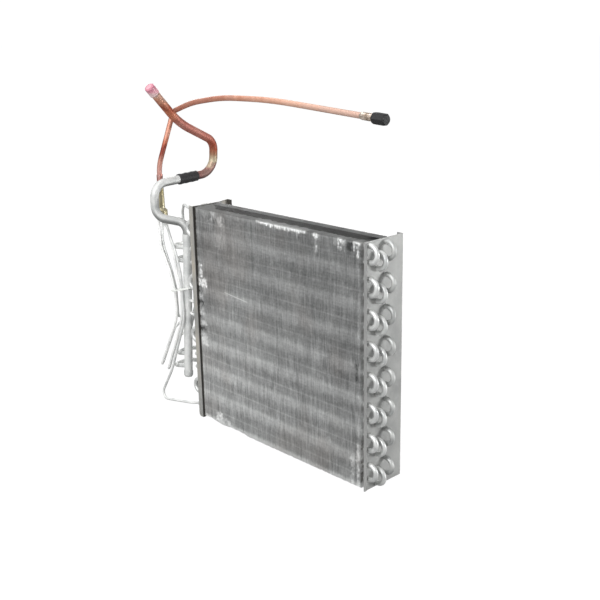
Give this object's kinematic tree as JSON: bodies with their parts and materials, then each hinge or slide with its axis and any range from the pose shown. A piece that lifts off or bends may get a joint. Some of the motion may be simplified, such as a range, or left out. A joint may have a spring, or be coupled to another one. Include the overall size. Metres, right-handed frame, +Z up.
{
  "type": "flat slab evaporator coil",
  "caption": "Fin and tube evaporator slab between folded end plates, with a refrigerant distributor, feeder tubes, a suction header and capped copper lines.",
  "frame": {"origin": "middle of the foot of the coil: halfway between the outer faces of the end plates, halfway through their depth, at the height of their bottom edges", "axes": "+X from the header end to the hairpin end along the tubes, +Y from the front fin face to the rear one, through which the air passes, +Z up"},
  "size_m": [0.5864, 0.1653, 0.6169],
  "materials": {
    "galvanised_sheet": "satin zinc-coated sheet, dulled with age",
    "fin_aluminium": "thin bare fin stock, dull, with crushed and bent spots",
    "tube_aluminium": "plain drawn tube, dulled satin",
    "distributor_brass": "turned, tarnished pale",
    "copper_line": "copper with brown and dark red heat stains near the brazed joint",
    "copper_socket": "copper, pinkish after brazing",
    "fitting_brass": "pale plated brass",
    "cap_black": "satin black",
    "sleeve_black": "shrunk tube, low sheen",
    "cap_pink": "soft translucent-looking vinyl, semi-gloss",
    "tie_white": "natural nylon"
  },
  "bodies": {
    "root": {"end_plate_left": "galvanised_sheet", "end_plate_right": "galvanised_sheet", "fin_pack_front": "fin_aluminium", "fin_pack_rear": "fin_aluminium", "hairpins_front": "tube_aluminium", "hairpins_middle": "tube_aluminium", "hairpins_rear": "tube_aluminium", "return_bends_front": "tube_aluminium", "return_bends_middle": "tube_aluminium", "return_bends_rear": "tube_aluminium", "crossover_bends_front": "tube_aluminium", "crossover_bends_rear": "tube_aluminium", "inlet_reducers": "tube_aluminium", "feeder_tube_1": "tube_aluminium", "feeder_tube_2": "tube_aluminium", "feeder_tube_3": "tube_aluminium", "feeder_tube_4": "tube_aluminium", "distributor": "distributor_brass", "liquid_line_socket": "copper_socket", "liquid_line": "copper_line", "flare_nut": "fitting_brass", "flare_union": "fitting_brass", "flare_cap": "cap_black", "suction_header": "tube_aluminium", "header_end_cap": "tube_aluminium", "suction_stub_1": "tube_aluminium", "suction_stub_2": "tube_aluminium", "suction_stub_3": "tube_aluminium", "suction_stub_4": "tube_aluminium", "suction_pipe": "tube_aluminium", "joint_sleeve": "sleeve_black", "suction_line": "copper_line", "suction_line_cap": "cap_pink", "cable_tie": "tie_white"}
  },
  "joints": []
}
